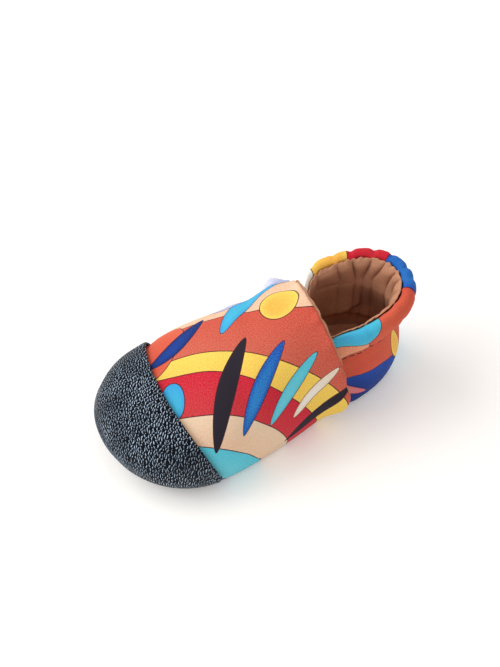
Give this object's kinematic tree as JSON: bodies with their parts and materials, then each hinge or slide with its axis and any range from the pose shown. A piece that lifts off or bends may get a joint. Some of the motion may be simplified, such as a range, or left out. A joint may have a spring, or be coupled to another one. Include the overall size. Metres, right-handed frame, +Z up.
{
  "type": "barefoot shoe",
  "caption": "Soft toddler's barefoot slip-on: thin flexible sole, wide toe box with a black pebbled cap, printed cloth vamp and gathered elastic collar lined with cotton.",
  "frame": {"origin": "on the floor, under the middle of the shoe's box", "axes": "+Y runs from the toe to the heel, +X to the wearer's left (the outer side of this left shoe), +Z up"},
  "size_m": [0.0655, 0.1309, 0.0581],
  "materials": {
    "outsole": "black pebbled leatherette, matte",
    "insole": "brown woven cotton",
    "upper": "matte printed softshell cloth with a brown cotton lining",
    "toe_cap": "black pebbled leatherette, semi-gloss grain"
  },
  "bodies": {
    "root": {"outsole": "outsole", "insole": "insole", "upper": "upper", "toe_cap": "toe_cap"}
  },
  "joints": []
}
